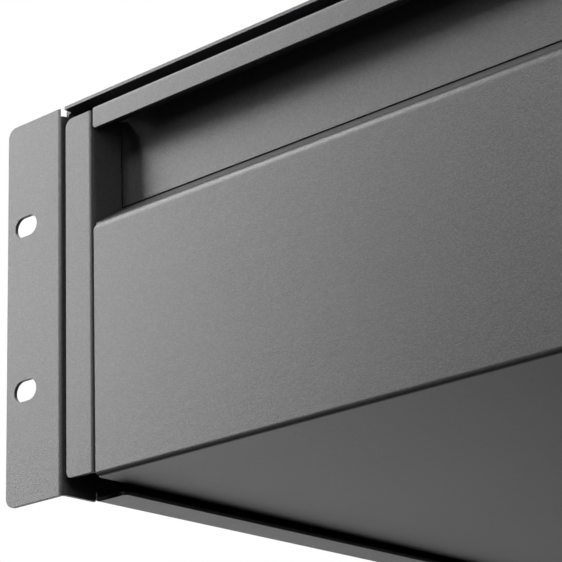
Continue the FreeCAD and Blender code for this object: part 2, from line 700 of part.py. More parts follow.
def release_lever():
    """Moulded lever that unlatches the drawer from the slide."""
    back = slide_x(SLIDE_SPACE - SLIDE_SHEET - LEVER_GAP)
    face = back - LEVER_THICKNESS
    pivot = Vector(face, LEVER_Y, SLIDE_Z)
    tip = Vector(face, LEVER_Y - LEVER_LENGTH, SLIDE_Z)
    arm = tapered_outline(face, pivot, LEVER_BOSS, tip, LEVER_TIP)
    lever = arm.extrude(Vector(LEVER_THICKNESS, 0, 0))
    pad_from = Vector(face, tip.y + LEVER_PAD, SLIDE_Z)
    pad = tapered_outline(face, pad_from, LEVER_TIP, tip, LEVER_TIP)
    pad = pad.extrude(Vector(-LEVER_THICKNESS / 2, 0, 0))
    lever = merged(lever, pad)
    bore = RIVET_SHANK + 2 * RIVET_FIT
    return lever.cut(hole_through(face, LEVER_Y, SLIDE_Z, bore, LEVER_THICKNESS))


def lever_rivet():
    """Round-headed rivet that the lever turns on, flush with the drawer wall."""
    head_face = slide_x(SLIDE_SPACE - SLIDE_SHEET - 2 * LEVER_GAP) - LEVER_THICKNESS
    head_face -= RIVET_HEAD_HEIGHT
    start = Vector(head_face, LEVER_Y, SLIDE_Z)
    shank = prism(start, Vector(slide_x(SLIDE_SPACE) - head_face, 0, 0), RIVET_SHANK)
    crown = polygon(start, Vector(1, 0, 0), RIVET_HEAD - RIVET_HEAD_HEIGHT)
    seat = polygon(start + Vector(RIVET_HEAD_HEIGHT, 0, 0), Vector(1, 0, 0), RIVET_HEAD)
    return merged(shank, Part.makeLoft([crown, seat], True, True))


def case_screws():
    """Screws from outside, through the case wall into the outer member."""
    grip = CASE_SHEET + SLIDE_SHEET
    ys = slide_screw_ys()
    return [pan_screw(Vector(-CASE_SIDE, y, SLIDE_Z), Vector(1, 0, 0), grip) for y in ys]


def drawer_screws():
    """Screws from inside the drawer into the inner member."""
    grip = DRAWER_SHEET + SLIDE_SHEET
    ys = slide_screw_ys()
    return [pan_screw(Vector(-SIDE_INNER, y, SLIDE_Z), Vector(-1, 0, 0), grip) for y in ys]


def rear_screws():
    """Screws through the case walls into the rear panel's folded ends."""
    grip = 2 * CASE_SHEET + REAR_FIT
    seats = [Vector(-CASE_SIDE, REAR_SCREW_Y, z) for z in rear_screw_zs()]
    left = [pan_screw(seat, Vector(1, 0, 0), grip, REAR_SCREW_SIZE) for seat in seats]
    return left + [mirrored(screw) for screw in left]


def slide_pieces():
    """Every node of the left slide, by name, each as a list of solids."""
    rear = SLIDE_FRONT + SLIDE_LENGTH
    outer_half = SLIDE_HEIGHT / 2 - 2 * SLIDE_SHEET - 2 * RACE_GAP - RACE
    middle_half = OUTER_ROW_Z - RACE_MID - SLIDE_SHEET / 2 - RACE_GAP - RACE
    middle_rear = SLIDE_FRONT + MIDDLE_LENGTH
    return {
        "slide_outer_member": [outer_member()],
        "slide_middle_member": [middle_member()],
        "slide_inner_member": [inner_member()],
        "outer_ball_cage": [ball_cage(OUTER_CAGE_WEB, OUTER_BALL_ROW)],
        "outer_balls": balls(OUTER_BALL_ROW),
        "inner_ball_cage": [ball_cage(INNER_CAGE_WEB, INNER_BALL_ROW)],
        "inner_balls": balls(INNER_BALL_ROW),
        "outer_bumper": [bumper(SLIDE_SHEET, outer_half, rear)],
        "middle_bumper": [bumper(MIDDLE_WEB + SLIDE_SHEET, middle_half, middle_rear)],
        "release_lever": [release_lever()],
        "lever_rivet": [lever_rivet()],
        "case_screws": case_screws(),
        "drawer_screws": drawer_screws(),
    }


def main():
    """Build every node and write it to the parts folder."""
    os.makedirs("parts", exist_ok=True)
    save("case_shell", case_shell())
    save("rear_panel", rear_panel())
    save("rear_panel_screws", *rear_screws())
    save("drawer_pan", drawer_pan())
    side = drawer_side()
    save("drawer_left_side", side)
    save("drawer_right_side", mirrored(side))
    save("drawer_back", drawer_back())
    save("pull_channel", pull_channel())
    for name, solids in slide_pieces().items():
        save("left_" + name, *solids)
        save("right_" + name, *[mirrored(solid) for solid in solids])


main()
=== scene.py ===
"""Looks of a sliding rack drawer in powder-coated folded steel, on zinc-plated slides.

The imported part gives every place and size. This script gives each of its nodes a finish,
puts real screws, rivets and balls in place of their plain stand-ins, and sets up the floor,
the lamps and the camera. Lengths are in metres: +Z up, -Y out of the drawer's front.
"""

import logging
import math
from dataclasses import dataclass, fields, replace
from enum import Enum
from typing import Any, Callable, ClassVar

import bmesh
import bpy
from mathutils import Matrix, Vector

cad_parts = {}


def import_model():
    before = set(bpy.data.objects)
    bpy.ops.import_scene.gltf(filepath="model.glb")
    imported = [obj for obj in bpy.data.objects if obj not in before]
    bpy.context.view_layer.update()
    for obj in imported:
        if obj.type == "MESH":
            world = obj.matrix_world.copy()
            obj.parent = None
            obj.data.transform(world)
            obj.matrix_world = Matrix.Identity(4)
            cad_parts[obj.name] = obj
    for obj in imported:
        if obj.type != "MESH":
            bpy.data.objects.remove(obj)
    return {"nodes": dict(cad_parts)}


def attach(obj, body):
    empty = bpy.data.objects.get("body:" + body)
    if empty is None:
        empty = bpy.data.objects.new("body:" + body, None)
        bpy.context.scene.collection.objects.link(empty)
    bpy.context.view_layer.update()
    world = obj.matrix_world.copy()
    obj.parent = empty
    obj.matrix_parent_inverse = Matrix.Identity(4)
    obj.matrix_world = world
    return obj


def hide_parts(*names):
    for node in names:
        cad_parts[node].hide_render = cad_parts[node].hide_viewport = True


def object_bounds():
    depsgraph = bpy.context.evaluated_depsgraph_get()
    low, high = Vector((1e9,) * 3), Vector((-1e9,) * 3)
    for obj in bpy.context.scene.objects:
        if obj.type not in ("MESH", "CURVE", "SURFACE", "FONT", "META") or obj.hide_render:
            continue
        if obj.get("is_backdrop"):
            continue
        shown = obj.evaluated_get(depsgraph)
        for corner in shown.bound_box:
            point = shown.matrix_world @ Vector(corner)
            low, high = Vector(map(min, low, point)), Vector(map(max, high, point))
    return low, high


LOG = logging.getLogger("rack_drawer")
# Points of a mesh that lie nearer to each other than this, in metres, are one point.
WELD_PACKED = 1e-6
WELD_TURNED = 1e-7
Colour = tuple[float, float, float]
Span = tuple[float, float]


class Side(Enum):
    """The two sides of the drawer, each with its name and its direction along X."""

    LEFT = ("left", -1.0)
    RIGHT = ("right", 1.0)

    @property
    def title(self) -> str:
        """The side's name, as it starts the names of its nodes."""
        return self.value[0]

    @property
    def outward(self) -> Vector:
        """The direction from the middle of the drawer to this side."""
        return Vector((self.value[1], 0.0, 0.0))


# ---------------------------------------------------------------- shader wiring
class Wiring:
    """A node tree that is being laid out."""

    def __init__(self, tree: bpy.types.NodeTree) -> None:
        """Empty the tree.

        Args:
            tree: The material, world or group tree to fill.
        """
        self.tree = tree
        tree.nodes.clear()

    def add(self, kind: str, **settings: Any) -> bpy.types.Node:
        """Add a node.

        Args:
            kind: The node's type without its ShaderNode prefix.
            **settings: Properties to set on it.

        Returns:
            The new node.
        """
        node = self.tree.nodes.new("ShaderNode" + kind)
        for name, value in settings.items():
            setattr(node, name, value)
        return node

    def link(self, source: bpy.types.NodeSocket, target: bpy.types.NodeSocket) -> None:
        """Join an output to an input."""
        self.tree.links.new(source, target)

    def feed(self, node: bpy.types.Node, **inputs: Any) -> bpy.types.Node:
        """Fill inputs of a node, with values or with other nodes' outputs.

        Args:
            node: The node whose inputs are filled.
            **inputs: Socket names, with underscores for spaces, and what goes in.

        Returns:
            The same node.
        """
        for name, value in inputs.items():
            socket = node.inputs[name.replace("_", " ")]
            if isinstance(value, bpy.types.NodeSocket):
                self.link(value, socket)
            else:
                socket.default_value = value
        return node

    def maths(self, operation: str, *values: Any, clamp: bool = False) -> bpy.types.NodeSocket:
        """Work out a number from numbers or outputs.

        Args:
            operation: The Math node's operation.
            *values: Its operands, in order.
            clamp: Whether the result is kept between 0 and 1.

        Returns:
            The result's socket.
        """
        node = self.add("Math", operation=operation, use_clamp=clamp)
        for socket, value in zip(node.inputs, values):
            if isinstance(value, bpy.types.NodeSocket):
                self.link(value, socket)
            else:
                socket.default_value = value
        return node.outputs[0]

    def ramp(self, value: bpy.types.NodeSocket, low: float, high: float) -> bpy.types.NodeSocket:
        """Turn a number into a smooth step.

        Args:
            value: The number's socket.
            low: Where the step is 0.
            high: Where it is 1, which may be the smaller number.

        Returns:
            The step's socket.
        """
        node = self.add("MapRange", interpolation_type="SMOOTHSTEP")
        self.feed(node, Value=value, From_Min=low, From_Max=high)
        return node.outputs["Result"]

    def tint(self, mask: Any, base: Any, over: Any) -> bpy.types.NodeSocket:
        """Mix two colours by a mask.

        Args:
            mask: 0 for the base colour, 1 for the other.
            base: A colour or an output.
            over: The same, for where the mask is 1.

        Returns:
            The mixed colour's socket.
        """
        node = self.add("Mix", data_type="RGBA")
        sockets = (node.inputs[0], node.inputs[6], node.inputs[7])
        for socket, value in zip(sockets, (mask, base, over)):
            if isinstance(value, bpy.types.NodeSocket):
                self.link(value, socket)
            elif isinstance(value, tuple):
                socket.default_value = (*value, 1.0)
            else:
                socket.default_value = value
        return node.outputs[2]

    def noise(self, place: bpy.types.NodeSocket, size: Any, detail: float = 2.0) -> bpy.types.NodeSocket:
        """Noise over a surface.

        Args:
            place: Coordinates in metres.
            size: The size of its patches in metres, as a number or an output.
            detail: How many finer octaves it has.

        Returns:
            The noise's value, from 0 to 1.
        """
        scale = self.maths("DIVIDE", 1.0, size) if isinstance(size, bpy.types.NodeSocket) else 1.0 / size
        node = self.add("TexNoise", normalize=True)
        self.feed(node, Vector=place, Scale=scale, Detail=detail)
        return node.outputs["Fac"]

    def relief(self, height: Any, distance: float, normal: bpy.types.NodeSocket) -> bpy.types.NodeSocket:
        """Raise a surface by a height."""
        node = self.feed(self.add("Bump"), Height=height, Distance=distance, Normal=normal)
        return node.outputs["Normal"]


@dataclass(frozen=True)
class Port:
    """A named input or output of an effect."""

    name: str
    kind: str = "NodeSocketFloat"
    default: float | None = None


class Effect:
    """A shader node group that several finishes share."""

    def __init__(
        self,
        name: str,
        inputs: list[Port],
        outputs: list[Port],
        draw: Callable[[Wiring, dict[str, Any]], dict[str, bpy.types.NodeSocket]],
    ) -> None:
        """Build the group once.

        Args:
            name: The group's name.
            inputs: Its inputs.
            outputs: Its outputs.
            draw: Fills it: takes the wiring and the inputs, and returns the outputs by name.
        """
        self.group = bpy.data.node_groups.new(name, "ShaderNodeTree")
        wiring = Wiring(self.group)
        for port in inputs:
            socket = self.group.interface.new_socket(port.name, in_out="INPUT", socket_type=port.kind)
            if port.default is not None:
                socket.default_value = port.default
        for port in outputs:
            self.group.interface.new_socket(port.name, in_out="OUTPUT", socket_type=port.kind)
        entry = self.group.nodes.new("NodeGroupInput")
        leave = self.group.nodes.new("NodeGroupOutput")
        given = {port.name: entry.outputs[port.name] for port in inputs}
        for title, socket in draw(wiring, given).items():
            wiring.link(socket, leave.inputs[title])

    def place(self, wiring: Wiring, **values: Any) -> dict[str, bpy.types.NodeSocket]:
        """Put the effect in a material.

        Args:
            wiring: The material's wiring.
            **values: The effect's inputs.

        Returns:
            Its outputs by name.
        """
        node = wiring.add("Group", node_tree=self.group)
        wiring.feed(node, **values)
        return {socket.name: socket for socket in node.outputs}


@dataclass(frozen=True)
class CoatTexture:
    """Fine grain of a cured powder coat over a slow unevenness of its film."""

    grain_detail: float = 3.0
    peel_size: float = 7.0
    peel_detail: float = 2.0
    peel_height: float = 0.7
    fleck_size: float = 1.6
    fleck_detail: float = 1.0
    fleck_span: Span = (0.35, 0.72)
    cloud_size: float = 0.06
    cloud_detail: float = 3.0

    def draw(self, wiring: Wiring, given: dict[str, Any]) -> dict[str, bpy.types.NodeSocket]:
        """Lay out the texture.

        Args:
            wiring: The group's wiring.
            given: Grain Size, in metres.

        Returns:
            Height of the surface, Fleck for its specks and Cloud for its wide patches.
        """
        place = wiring.add("TexCoord").outputs["Object"]
        size = given["Grain Size"]
        grain = wiring.noise(place, size, self.grain_detail)
        peel = wiring.noise(place, wiring.maths("MULTIPLY", size, self.peel_size), self.peel_detail)
        cloud = wiring.noise(place, self.cloud_size, self.cloud_detail)
        height = wiring.maths("MULTIPLY_ADD", peel, self.peel_height, grain)
        specks = wiring.noise(place, wiring.maths("MULTIPLY", size, self.fleck_size), self.fleck_detail)
        return {"Height": height, "Fleck": wiring.ramp(specks, *self.fleck_span), "Cloud": cloud}


@dataclass(frozen=True)
class SoftEdge:
    """Rounding of sharp edges, and a mask that is 1 on them."""

    samples: int = 6
    edge_span: Span = (0.02, 0.22)

    def draw(self, wiring: Wiring, given: dict[str, Any]) -> dict[str, bpy.types.NodeSocket]:
        """Lay out the rounding.

        Args:
            wiring: The group's wiring.
            given: Radius of the edges, in metres.

        Returns:
            Normal of the rounded surface and Edge, the mask.
        """
        bevel = wiring.feed(wiring.add("Bevel", samples=self.samples), Radius=given["Radius"])
        plain = wiring.add("NewGeometry").outputs["Normal"]
        product = wiring.add("VectorMath", operation="DOT_PRODUCT")
        wiring.link(bevel.outputs["Normal"], product.inputs[0])
        wiring.link(plain, product.inputs[1])
        bend = wiring.maths("SUBTRACT", 1.0, product.outputs["Value"])
        return {"Normal": bevel.outputs["Normal"], "Edge": wiring.ramp(bend, *self.edge_span)}


@dataclass(frozen=True)
class SettledDust:
    """Dust that settles on what faces up, thicker in patches."""

    upward_span: Span = (0.75, 1.0)
    patch_size: float = 0.035
    patch_detail: float = 4.0
    patch_span: Span = (0.35, 0.75)
    patch_share: float = 0.75
    speck_size: float = 0.0012
    speck_detail: float = 1.0
    speck_span: Span = (0.62, 0.74)
    speck_share: float = 0.5

    def draw(self, wiring: Wiring, given: dict[str, Any]) -> dict[str, bpy.types.NodeSocket]:
        """Lay out the dust.

        Args:
            wiring: The group's wiring.
            given: Amount of dust, from 0 to 1.

        Returns:
            Mask, 1 where dust covers the surface.
        """
        place = wiring.add("TexCoord").outputs["Object"]
        normal = wiring.add("NewGeometry").outputs["Normal"]
        split = wiring.add("SeparateXYZ")
        wiring.link(normal, split.inputs[0])
        upward = wiring.ramp(split.outputs["Z"], *self.upward_span)
        patches = wiring.ramp(wiring.noise(place, self.patch_size, self.patch_detail), *self.patch_span)
        specks = wiring.ramp(wiring.noise(place, self.speck_size, self.speck_detail), *self.speck_span)
        specks = wiring.maths("MULTIPLY", specks, self.speck_share)
        film = wiring.maths("MULTIPLY_ADD", patches, self.patch_share, specks)
        film = wiring.maths("MULTIPLY", upward, film)
        return {"Mask": wiring.maths("MULTIPLY", film, given["Amount"], clamp=True)}


@dataclass(frozen=True)
class RollingLines:
    """Lines along Y that a rolling mill leaves, and the cloudy tone of a plated film."""

    squeeze: float = 0.02
    line_detail: float = 4.0
    cloud_size: float = 0.012
    cloud_detail: float = 4.0

    def draw(self, wiring: Wiring, given: dict[str, Any]) -> dict[str, bpy.types.NodeSocket]:
        """Lay out the lines.

        Args:
            wiring: The group's wiring.
            given: Line Size, in metres.

        Returns:
            Height of the lines and Cloud for the film's patches.
        """
        place = wiring.add("TexCoord").outputs["Object"]
        along = wiring.add("Mapping")
        wiring.feed(along, Vector=place, Scale=Vector((1.0, self.squeeze, 1.0)))
        lines = wiring.noise(along.outputs["Vector"], given["Line Size"], self.line_detail)
        return {"Height": lines, "Cloud": wiring.noise(place, self.cloud_size, self.cloud_detail)}


@dataclass(frozen=True)
class GreaseFilm:
    """A film of grease near the ball rows, at a height above and below the slide's middle."""

    width_span: Span = (0.001, 0.0035)
    smear_size: float = 0.006
    smear_detail: float = 3.0
    smear_span: Span = (0.38, 0.62)

    def draw(self, wiring: Wiring, given: dict[str, Any]) -> dict[str, bpy.types.NodeSocket]:
        """Lay out the film.

        Args:
            wiring: The group's wiring.
            given: Row Height, from the slide's middle to a row of balls, in metres.

        Returns:
            Mask, 1 where grease lies.
        """
        place = wiring.add("TexCoord").outputs["Object"]
        split = wiring.add("SeparateXYZ")
        wiring.link(place, split.inputs[0])
        height = wiring.maths("ABSOLUTE", split.outputs["Z"])
        away = wiring.maths("ABSOLUTE", wiring.maths("SUBTRACT", height, given["Row Height"]))
        near = wiring.maths("SUBTRACT", 1.0, wiring.ramp(away, *self.width_span))
        smear = wiring.ramp(wiring.noise(place, self.smear_size, self.smear_detail), *self.smear_span)
        return {"Mask": wiring.maths("MULTIPLY", near, smear)}


class Effects:
    """Every shared effect, built once."""

    def __init__(self) -> None:
        """Build the node groups."""
        self.coat = Effect(
            "coat_texture",
            [Port("Grain Size", default=0.0003)],
            [Port("Height"), Port("Fleck"), Port("Cloud")],
            CoatTexture().draw,
        )
        self.edge = Effect(
            "soft_edge",
            [Port("Radius", default=0.0003)],
            [Port("Normal", "NodeSocketVector"), Port("Edge")],
            SoftEdge().draw,
        )
        self.dust = Effect(
            "settled_dust",
            [Port("Amount", default=0.2)],
            [Port("Mask")],
            SettledDust().draw,
        )
        self.rolling = Effect(
            "rolling_lines",
            [Port("Line Size", default=0.0004)],
            [Port("Height"), Port("Cloud")],
            RollingLines().draw,
        )
        self.grease = Effect(
            "grease_film",
            [Port("Row Height", default=0.02)],
            [Port("Mask")],
            GreaseFilm().draw,
        )


# ---------------------------------------------------------------- finishes
def new_material(name: str) -> tuple[bpy.types.Material, Wiring, bpy.types.Node]:
    """A material with an empty Principled shader.

    Args:
        name: The material's name.

    Returns:
        The material, its wiring and its Principled shader.
    """
    material = bpy.data.materials.new(name)
    material.use_nodes = True
    wiring = Wiring(material.node_tree)
    shader = wiring.add("BsdfPrincipled")
    leave = wiring.add("OutputMaterial")
    wiring.link(shader.outputs["BSDF"], leave.inputs["Surface"])
    return material, wiring, shader


def toned(colour: Colour, share: float) -> Colour:
    """A colour made darker or lighter."""
    red, green, blue = colour
    return red * share, green * share, blue * share


@dataclass(frozen=True)
class PowderCoat:
    """Satin powder coat with a fine even grain."""

    name: str
    colour: Colour
    roughness: float = 0.32
    clouding: float = 0.03
    grain_size: float = 0.00042
    grain_height: float = 0.00007
    dark_fleck: float = 0.86
    light_fleck: float = 1.12
    edge_radius: float = 0.00024
    # Share of the coat's colour on its edges: partly thinner paint on worn edges, partly a painted
    # highlight along them.
    edge_wear_and_highlight_tone: float = 1.35
    edge_lightening: float = 0.5
    dust: float = 0.04
    dust_colour: Colour = (0.34, 0.33, 0.31)
    dust_roughness: float = 0.3

    def material(self, effects: Effects) -> bpy.types.Material:
        """Build the coat.

        Args:
            effects: The shared effects.

        Returns:
            The finished material.
        """
        material, wiring, shader = new_material(self.name)
        coat = effects.coat.place(wiring, Grain_Size=self.grain_size)
        edge = effects.edge.place(wiring, Radius=self.edge_radius)
        dust = effects.dust.place(wiring, Amount=self.dust)
        dark, light = toned(self.colour, self.dark_fleck), toned(self.colour, self.light_fleck)
        tone = wiring.tint(coat["Fleck"], dark, light)
        # Edges are lightened in colour: partly thinner paint on worn edges, partly a painted highlight
        # along the edges.
        edge_lightening_mask = wiring.maths("MULTIPLY", edge["Edge"], self.edge_lightening)
        tone = wiring.tint(edge_lightening_mask, tone, toned(self.colour, self.edge_wear_and_highlight_tone))
        tone = wiring.tint(dust["Mask"], tone, self.dust_colour)
        smoothest = self.roughness - self.clouding / 2
        gloss = wiring.maths("MULTIPLY_ADD", coat["Cloud"], self.clouding, smoothest)
        dulled = wiring.maths("MULTIPLY", dust["Mask"], self.dust_roughness)
        gloss = wiring.maths("ADD", gloss, dulled, clamp=True)
        normal = wiring.relief(coat["Height"], self.grain_height, edge["Normal"])
        wiring.feed(shader, Base_Color=tone, Roughness=gloss, Normal=normal)
        return material


@dataclass(frozen=True)
class ZincPlate:
    """Bright zinc on rolled or stamped steel."""

    name: str
    colour: Colour
    roughness: float = 0.34
    clouding: float = 0.16
    dull_tone: float = 0.8
    line_size: float = 0.0005
    line_height: float = 0.000006
    row_height: float = 0.0197
    grease: float = 0.6
    grease_colour: Colour = (0.36, 0.31, 0.2)
    grease_gloss: float = 0.16
    edge_radius: float = 0.0002

    def material(self, effects: Effects) -> bpy.types.Material:
        """Build the plating.

        Args:
            effects: The shared effects.

        Returns:
            The finished material.
        """
        material, wiring, shader = new_material(self.name)
        rolling = effects.rolling.place(wiring, Line_Size=self.line_size)
        edge = effects.edge.place(wiring, Radius=self.edge_radius)
        grease = effects.grease.place(wiring, Row_Height=self.row_height)
        film = wiring.maths("MULTIPLY", grease["Mask"], self.grease)
        tone = wiring.tint(rolling["Cloud"], toned(self.colour, self.dull_tone), self.colour)
        tone = wiring.tint(film, tone, self.grease_colour)
        smoothest = self.roughness - self.clouding / 2
        gloss = wiring.maths("MULTIPLY_ADD", rolling["Cloud"], self.clouding, smoothest)
        gloss = wiring.maths("MULTIPLY_ADD", film, -self.grease_gloss, gloss, clamp=True)
        normal = wiring.relief(rolling["Height"], self.line_height, edge["Normal"])
        wiring.feed(shader, Base_Color=tone, Roughness=gloss, Metallic=1.0, Normal=normal)
        return material


@dataclass(frozen=True)
class Moulding:
    """Black moulded plastic with a fine spark-eroded grain."""

    name: str
    colour: Colour
    roughness: float = 0.42
    fleck_roughness: float = 0.12
    grain_size: float = 0.0002
    grain_height: float = 0.00001
    mottle: float = 0.5
    mottle_tone: float = 1.6
    edge_radius: float = 0.0003
    edge_lightening: float = 0.35
    edge_colour: Colour = (0.16, 0.16, 0.16)

    def material(self, effects: Effects) -> bpy.types.Material:
        """Build the plastic.

        Args:
            effects: The shared effects.

        Returns:
            The finished material.
        """
        material, wiring, shader = new_material(self.name)
        coat = effects.coat.place(wiring, Grain_Size=self.grain_size)
        edge = effects.edge.place(wiring, Radius=self.edge_radius)
        patches = wiring.maths("MULTIPLY", coat["Cloud"], self.mottle)
        tone = wiring.tint(patches, self.colour, toned(self.colour, self.mottle_tone))
        edge_lightening_mask = wiring.maths("MULTIPLY", edge["Edge"], self.edge_lightening)
        tone = wiring.tint(edge_lightening_mask, tone, self.edge_colour)
        gloss = wiring.maths("MULTIPLY_ADD", coat["Fleck"], self.fleck_roughness, self.roughness)
        normal = wiring.relief(coat["Height"], self.grain_height, edge["Normal"])
        wiring.feed(shader, Base_Color=tone, Roughness=gloss, Normal=normal)
        return material


class Finishes:
    """The material of every slot."""

    def __init__(self) -> None:
        """Build each finish once."""
        effects = Effects()
        grey = (0.088, 0.088, 0.088)
        zinc = (0.66, 0.67, 0.68)
        choices = (
            PowderCoat("case_coat", grey),
            PowderCoat("drawer_coat", grey),
            ZincPlate("slide_zinc", zinc),
            ZincPlate("cage_steel", (0.55, 0.54, 0.5), roughness=0.4, grease=0.8),
            ZincPlate("ball_steel", (0.78, 0.78, 0.79), roughness=0.14, line_height=0.000001, grease=0.3),
            ZincPlate("screw_steel", (0.6, 0.6, 0.6), roughness=0.36, row_height=1.0),
            Moulding("bumper_plastic", (0.018, 0.018, 0.018), roughness=0.5),
            Moulding("lever_plastic", (0.022, 0.022, 0.024)),
        )
        self.by_slot = {choice.name: choice.material(effects) for choice in choices}

    def dress(self, piece: bpy.types.Object, slot: str) -> None:
        """Give a piece the finish of a slot.

        Args:
            piece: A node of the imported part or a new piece.
            slot: The record's material slot.
        """
        if not piece.material_slots:
            piece.data.materials.append(None)
        for place in piece.material_slots:
            place.material = self.by_slot[slot]


# ---------------------------------------------------------------- mesh helpers
@dataclass(frozen=True)
class Solid:
    """Where one solid of a node lies."""

    low: Vector
    high: Vector

    @property
    def centre(self) -> Vector:
        """The middle of its box."""
        return (self.low + self.high) / 2

    @property
    def size(self) -> Vector:
        """Its extents."""
        return self.high - self.low


def solids_of(node: bpy.types.Object) -> list[Solid]:
    """Find the separate solids of a node.

    Args:
        node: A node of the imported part.

    Returns:
        One entry for each, sorted by place.
    """
    mesh = bmesh.new()
    mesh.from_mesh(node.data)
    bmesh.ops.remove_doubles(mesh, verts=mesh.verts, dist=WELD_PACKED)
    left = set(mesh.verts)
    found = []
    while left:
        island = set()
        waiting = [next(iter(left))]
        while waiting:
            vertex = waiting.pop()
            if vertex in island:
                continue
            island.add(vertex)
            waiting += [edge.other_vert(vertex) for edge in vertex.link_edges]
        left -= island
        low = Vector([min(vertex.co[axis] for vertex in island) for axis in range(3)])
        high = Vector([max(vertex.co[axis] for vertex in island) for axis in range(3)])
        found.append(Solid(low, high))
    mesh.free()
    return sorted(found, key=lambda solid: tuple(round(value, 5) for value in solid.centre))


def new_piece(name: str, mesh: bmesh.types.BMesh, smooth_below: float = 35.0) -> bpy.types.Object:
    """Make an object of a mesh.

    Args:
        name: The piece's name.
        mesh: Its mesh, which is used up.
        smooth_below: Edges that turn by fewer degrees than this are shaded smooth.

    Returns:
        The new object.
    """
    bmesh.ops.recalc_face_normals(mesh, faces=mesh.faces)
    limit = math.radians(smooth_below)
    for face in mesh.faces:
        face.smooth = True
    for edge in mesh.edges:
        edge.smooth = len(edge.link_faces) == 2 and edge.calc_face_angle() < limit
    data = bpy.data.meshes.new(name)
    mesh.to_mesh(data)
    mesh.free()
    piece = bpy.data.objects.new(name, data)
    bpy.context.scene.collection.objects.link(piece)
    return piece


def turned(profile: list[tuple[float, float]], steps: int) -> bmesh.types.BMesh:
    """Turn a profile about Z.

    Args:
        profile: Radius and height of each point, from the bottom of the axis to its top.
        steps: How many sides the round has.

    Returns:
        A closed mesh.
    """
    mesh = bmesh.new()
    points = [mesh.verts.new((radius, 0.0, height)) for radius, height in profile]
    edges = [mesh.edges.new(pair) for pair in zip(points, points[1:])]
    bmesh.ops.spin(
        mesh,
        geom=points + edges,
        cent=(0.0, 0.0, 0.0),
        axis=(0.0, 0.0, 1.0),
        angle=math.tau,
        steps=steps,
        use_merge=True,
    )
    bmesh.ops.remove_doubles(mesh, verts=mesh.verts, dist=WELD_TURNED)
    return mesh


def copies(master: bmesh.types.BMesh, places: list[Matrix]) -> bmesh.types.BMesh:
    """Join copies of a mesh at several places.

    Args:
        master: The mesh to copy, which is used up.
        places: A transform for each copy.

    Returns:
        The joined mesh.
    """
    data = bpy.data.meshes.new("copy_source")
    master.to_mesh(data)
    master.free()
    joined = bmesh.new()
    for place in places:
        before = len(joined.verts)
        joined.from_mesh(data)
        joined.verts.ensure_lookup_table()
        bmesh.ops.transform(joined, matrix=place, verts=joined.verts[before:])
    bpy.data.meshes.remove(data)
    return joined


def facing(origin: Vector, direction: Vector) -> Matrix:
    """A transform that puts +Z along a direction and the origin at a point."""
    turn = direction.to_track_quat("Z", "Y").to_matrix().to_4x4()
    return Matrix.Translation(origin) @ turn


# ---------------------------------------------------------------- small pieces
@dataclass(frozen=True)
class PanHeadScrew:
    """A pan-head machine screw with a cross recess, its head's seat at the origin.

    The names in capitals are shares and a count, which a screw of another size keeps.
    """

    CHAMFER: ClassVar[float] = 0.25
    SEAT_ROUND: ClassVar[float] = 0.25
    CROWN_FLAT: ClassVar[float] = 0.42
    CROWN_STEPS: ClassVar[int] = 8
    RECESS_TAPER: ClassVar[float] = 0.55

    head_radius: float = 0.004
    head_height: float = 0.0024
    shank_radius: float = 0.00195
    rim: float = 0.0006
    recess_width: float = 0.0044
    recess_slot: float = 0.00095
    recess_depth: float = 0.0015
    steps: int = 40

    def scaled(self, share: float) -> "PanHeadScrew":
        """The same screw in another size."""
        lengths = [field.name for field in fields(self) if field.name != "steps"]
        return replace(self, **{name: getattr(self, name) * share for name in lengths})

    def profile(self, grip: float) -> list[tuple[float, float]]:
        """Half the section: tip, shank, seat, rim and crown.

        Args:
            grip: How far the shank goes in from the seat.

        Returns:
            Radius and height of each point.
        """
        chamfer = self.shank_radius * self.CHAMFER
        soft = self.rim * self.SEAT_ROUND
        points = [
            (0.0, -grip),
            (self.shank_radius - chamfer, -grip),
            (self.shank_radius, -grip + chamfer),
            (self.shank_radius, 0.0),
            (self.head_radius - soft, 0.0),
            (self.head_radius, soft),
        ]
        rise = self.head_height - self.rim
        for step in range(self.CROWN_STEPS + 1):
            angle = math.pi / 2 * step / self.CROWN_STEPS
            radius = self.head_radius * (self.CROWN_FLAT + (1.0 - self.CROWN_FLAT) * math.cos(angle))
            points.append((radius, self.rim + rise * math.sin(angle)))
        points.append((0.0, self.head_height))
        return points

    def recess(self) -> bpy.types.Object:
        """Make the cutter of the cross recess.

        Returns:
            Two crossed blades that taper inward.
        """
        mesh = bmesh.new()
        top = self.head_height + self.recess_depth
        for turn in (0.0, math.pi / 2):
            blade = bmesh.ops.create_cube(mesh, size=1.0)["verts"]
            scale = Matrix.Diagonal((self.recess_width, self.recess_slot, 2 * self.recess_depth, 1.0))
            place = Matrix.Translation((0.0, 0.0, top - self.recess_depth))
            bmesh.ops.transform(mesh, matrix=Matrix.Rotation(turn, 4, "Z") @ place @ scale, verts=blade)
            for vertex in blade:
                if vertex.co.z < top - self.recess_depth:
                    vertex.co.x *= self.RECESS_TAPER
                    vertex.co.y *= self.RECESS_TAPER
        return new_piece("recess_cutter", mesh)

    def mesh(self, grip: float) -> bmesh.types.BMesh:
        """The whole screw.

        Args:
            grip: How far its shank goes in.

        Returns:
            Its mesh.
        """
        body = new_piece("screw_blank", turned(self.profile(grip), self.steps))
        cutter = self.recess()
        cut = body.modifiers.new("recess", "BOOLEAN")
        cut.operation = "DIFFERENCE"
        cut.object = cutter
        cut.solver = "EXACT"
        cut.use_self = True
        shape = bpy.data.meshes.new_from_object(body.evaluated_get(bpy.context.evaluated_depsgraph_get()))
        result = bmesh.new()
        result.from_mesh(shape)
        for leftover in (body, cutter):
            bpy.data.objects.remove(leftover)
        bpy.data.meshes.remove(shape)
        return result


